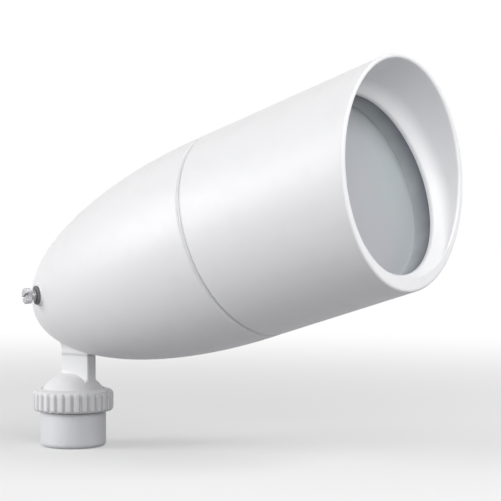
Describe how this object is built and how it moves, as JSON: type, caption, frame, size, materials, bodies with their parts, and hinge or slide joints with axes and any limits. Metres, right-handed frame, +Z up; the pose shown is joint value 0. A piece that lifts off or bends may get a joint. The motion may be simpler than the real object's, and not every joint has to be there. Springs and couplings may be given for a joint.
{
  "type": "landscape floodlight",
  "caption": "Die-cast bullet floodlight for a PAR38 lamp: slanted hood, recessed frosted lens, ogive rear housing, and a swivel arm clamped by a ribbed ring nut on a conduit hub.",
  "frame": {"origin": "centre of the hub's bottom face, on the axis of its conduit bore", "axes": "+Z up along the hub's axis, +X the horizontal direction the lamp faces; at rest the lamp is aimed 18 degrees above +X, and +Y is its left side"},
  "size_m": [0.3011, 0.143, 0.2627],
  "materials": {
    "white_powder_coat": "satin",
    "hub_coat": "satin",
    "frosted_glass": "matte",
    "lamp_glass": "gloss",
    "mirrored_glass": "gloss",
    "dark_rubber": "matte",
    "grey_silicone": "matte",
    "white_silicone": "matte",
    "plated_steel": "satin",
    "green_steel": "satin",
    "brass": "satin",
    "solder": "satin",
    "porcelain": "gloss",
    "black_glass": "gloss",
    "nylon": "matte",
    "black_insulation": "satin",
    "white_insulation": "satin",
    "green_insulation": "satin"
  },
  "bodies": {
    "base": {"hub_base": "hub_coat", "nut_seal": "dark_rubber"},
    "nut": {"swivel_nut": "white_powder_coat"},
    "swivel": {"swivel_liner": "nylon"},
    "head": {"swivel_arm": "white_powder_coat", "arm_gasket": "white_silicone", "arm_screw_back": "plated_steel", "arm_screw_front": "plated_steel", "rear_housing": "white_powder_coat", "hood_lock_screw": "plated_steel", "rear_washer": "dark_rubber", "rear_screw": "plated_steel", "rear_nut": "plated_steel", "lampholder_bracket": "plated_steel", "ground_screw": "green_steel", "lampholder": "porcelain", "lampholder_screw_left": "plated_steel", "lampholder_screw_right": "plated_steel", "screw_shell": "brass", "centre_contact": "brass", "lead_black": "black_insulation", "lead_white": "white_insulation", "lead_green": "green_insulation"},
    "hood": {"hood": "white_powder_coat", "seam_gasket": "dark_rubber", "lens": "frosted_glass", "lens_gasket": "grey_silicone", "lens_cushion": "grey_silicone", "lens_retaining_ring": "plated_steel"},
    "lamp": {"lamp_reflector": "mirrored_glass", "lamp_face": "lamp_glass", "lamp_base": "brass", "lamp_insulator": "black_glass", "lamp_contact": "solder"}
  },
  "joints": [
    {"name": "nut_turn", "type": "hinge", "parent": "base", "child": "nut", "pos_m": [0, 0, 0.0258], "axis": [0, 0, 1], "range_deg": [0, 360]},
    {"name": "pan", "type": "hinge", "parent": "base", "child": "swivel", "pos_m": [0, 0, 0.0258], "axis": [0, 0, 1], "range_deg": [-175, 175]},
    {"name": "tilt", "type": "hinge", "parent": "swivel", "child": "head", "pos_m": [0, 0, 0.0258], "axis": [0, 1, 0], "range_deg": [-11, 11]},
    {"name": "hood_slide", "type": "slide", "parent": "head", "child": "hood", "axis": [0.9511, 0, 0.309], "range_m": [0, 0.1]},
    {"name": "lamp_unscrew", "type": "hinge", "parent": "head", "child": "lamp", "pos_m": [0.149, 0, 0.15], "axis": [0.9511, 0, 0.309], "range_deg": [0, 360]}
  ]
}
